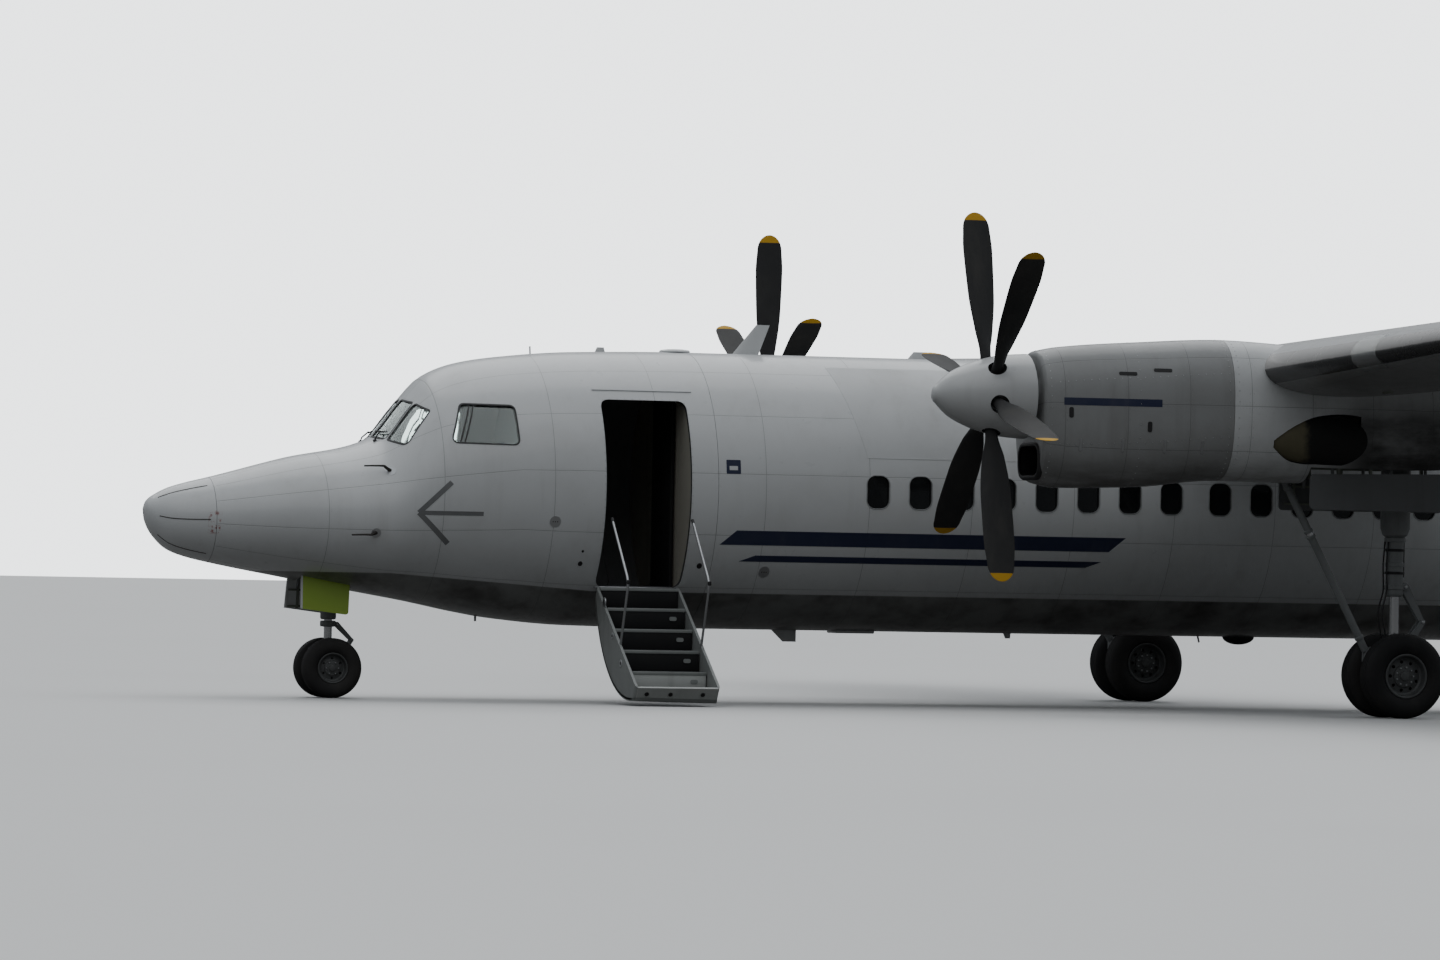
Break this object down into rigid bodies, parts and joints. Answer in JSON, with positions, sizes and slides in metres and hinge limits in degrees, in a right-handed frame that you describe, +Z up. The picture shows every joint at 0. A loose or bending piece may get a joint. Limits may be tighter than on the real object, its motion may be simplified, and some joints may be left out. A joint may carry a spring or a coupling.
{
  "type": "turboprop airliner",
  "caption": "High-wing turboprop airliner standing on its landing gear with the front passenger stairs folded down.",
  "frame": {"origin": "on the ground below the middle of the overall length, in the plane of symmetry", "axes": "+X aft towards the tail, +Y to starboard, +Z up"},
  "size_m": [25.25, 29, 8.32],
  "materials": {
    "white_paint": "glossy white paint, slightly worn",
    "wing_paint": "satin light grey paint",
    "grey_paint": "satin mid grey paint",
    "bare_metal": "bare brushed aluminium",
    "steel": "grey painted and bare steel",
    "dark_metal": "heat-darkened steel",
    "blade_black": "satin black composite",
    "tyre": "matt black rubber",
    "glass": "clear tinted glazing",
    "inside_trim": "dark grey trim",
    "lime_paint": "lime green paint",
    "engine_cast": "dull cast metal"
  },
  "bodies": {
    "airframe": {"radome": "white_paint", "forward_fuselage": "white_paint", "cockpit_glazing": "glass", "flight_deck": "inside_trim", "service_door": "white_paint", "centre_fuselage": "white_paint", "rear_fuselage": "white_paint", "wing_centre": "wing_paint", "wing_left": "wing_paint", "wing_right": "wing_paint", "fin": "white_paint", "tailplane_left": "white_paint", "tailplane_right": "white_paint", "nacelle_left": "white_paint", "nacelle_right": "white_paint", "cowl_left": "grey_paint", "cowl_right": "grey_paint", "engine_left": "engine_cast", "engine_right": "engine_cast", "exhaust_left": "dark_metal", "exhaust_right": "dark_metal", "main_leg_left": "steel", "main_leg_right": "steel", "main_stay_left": "steel", "main_stay_right": "steel", "main_door_outer_left": "white_paint", "main_door_outer_right": "white_paint", "main_door_inner_left": "white_paint", "main_door_inner_right": "white_paint", "nose_leg": "steel", "nose_door_left": "lime_paint", "nose_door_right": "white_paint"},
    "stairs": {"stair_leaf": "bare_metal", "stair_rail_front": "bare_metal", "stair_rail_rear": "bare_metal"},
    "rudder": {"rudder": "white_paint"},
    "flap_inner_left": {"flap_inner_left": "wing_paint"},
    "flap_inner_right": {"flap_inner_right": "wing_paint"},
    "flap_outer_left": {"flap_outer_left": "wing_paint"},
    "flap_outer_right": {"flap_outer_right": "wing_paint"},
    "aileron_left": {"aileron_left": "wing_paint"},
    "aileron_right": {"aileron_right": "wing_paint"},
    "elevator_left": {"elevator_left": "white_paint"},
    "elevator_right": {"elevator_right": "white_paint"},
    "propeller_left": {"propeller_left": "blade_black", "spinner_left": "white_paint"},
    "main_wheels_left": {"main_wheels_left_rims": "bare_metal", "main_wheels_left_tyre_a": "tyre", "main_wheels_left_tyre_b": "tyre"},
    "propeller_right": {"propeller_right": "blade_black", "spinner_right": "white_paint"},
    "main_wheels_right": {"main_wheels_right_rims": "bare_metal", "main_wheels_right_tyre_a": "tyre", "main_wheels_right_tyre_b": "tyre"},
    "nose_steering": {"nose_steering": "steel"},
    "nose_wheels": {"nose_wheels_rims": "bare_metal", "nose_wheels_tyre_a": "tyre", "nose_wheels_tyre_b": "tyre"}
  },
  "joints": [
    {"name": "flap_inner_right_hinge", "type": "hinge", "parent": "airframe", "child": "flap_inner_right", "pos_m": [-0.31002, 1.57036, 3.00523], "axis": [-0.0692, 0.9967, 0.0413], "range_deg": [0, 35]},
    {"name": "flap_inner_left_hinge", "type": "hinge", "parent": "airframe", "child": "flap_inner_left", "pos_m": [-0.31002, -1.57036, 3.00523], "axis": [0.0692, 0.9967, -0.0413], "range_deg": [0, 35]},
    {"name": "flap_outer_right_hinge", "type": "hinge", "parent": "airframe", "child": "flap_outer_right", "pos_m": [-0.4976, 4.26932, 3.14217], "axis": [-0.0692, 0.9967, 0.0413], "range_deg": [0, 35]},
    {"name": "flap_outer_left_hinge", "type": "hinge", "parent": "airframe", "child": "flap_outer_left", "pos_m": [-0.4976, -4.26932, 3.14217], "axis": [0.0692, 0.9967, -0.0413], "range_deg": [0, 35]},
    {"name": "aileron_right_hinge", "type": "hinge", "parent": "airframe", "child": "aileron_right", "pos_m": [-0.81361, 9.42, 3.57927], "axis": [-0.0721, 0.9965, 0.0414], "range_deg": [-20, 20]},
    {"name": "aileron_left_hinge", "type": "hinge", "parent": "airframe", "child": "aileron_left", "pos_m": [-0.81361, -9.42, 3.57927], "axis": [0.0721, 0.9965, -0.0414], "range_deg": [-20, 20]},
    {"name": "elevator_right_hinge", "type": "hinge", "parent": "airframe", "child": "elevator_right", "pos_m": [11.13505, 0.7, 3.67322], "axis": [0.0029, 0.9946, 0.104], "range_deg": [-20, 20]},
    {"name": "elevator_left_hinge", "type": "hinge", "parent": "airframe", "child": "elevator_left", "pos_m": [11.13505, -0.7, 3.67322], "axis": [-0.0029, 0.9946, -0.104], "range_deg": [-20, 20]},
    {"name": "rudder_hinge", "type": "hinge", "parent": "airframe", "child": "rudder", "pos_m": [10.705, 0, 3.92], "axis": [0.1809, 0, 0.9835], "range_deg": [-25, 25]},
    {"name": "propeller_left_spin", "type": "hinge", "parent": "airframe", "child": "propeller_left", "pos_m": [-5.235, -3.6, 3.011], "axis": [1, 0, 0], "continuous": true},
    {"name": "main_wheels_left_spin", "type": "hinge", "parent": "airframe", "child": "main_wheels_left", "pos_m": [-1.065, -3.6, 0.41], "axis": [0, 1, 0], "continuous": true},
    {"name": "propeller_right_spin", "type": "hinge", "parent": "airframe", "child": "propeller_right", "pos_m": [-5.235, 3.6, 3.011], "axis": [1, 0, 0], "continuous": true},
    {"name": "main_wheels_right_spin", "type": "hinge", "parent": "airframe", "child": "main_wheels_right", "pos_m": [-1.065, 3.6, 0.41], "axis": [0, 1, 0], "continuous": true},
    {"name": "nose_steer", "type": "hinge", "parent": "airframe", "child": "nose_steering", "pos_m": [-10.765, 0, 0.9], "axis": [0, 0, 1], "range_deg": [-60, 60]},
    {"name": "nose_wheels_spin", "type": "hinge", "parent": "nose_steering", "child": "nose_wheels", "pos_m": [-10.765, 0, 0.292], "axis": [0, 1, 0], "continuous": true},
    {"name": "stair_hinge", "type": "hinge", "parent": "airframe", "child": "stairs", "pos_m": [-7.915, -0.942, 1.124], "axis": [-1, 0, 0], "range_deg": [0, 122.9]}
  ]
}
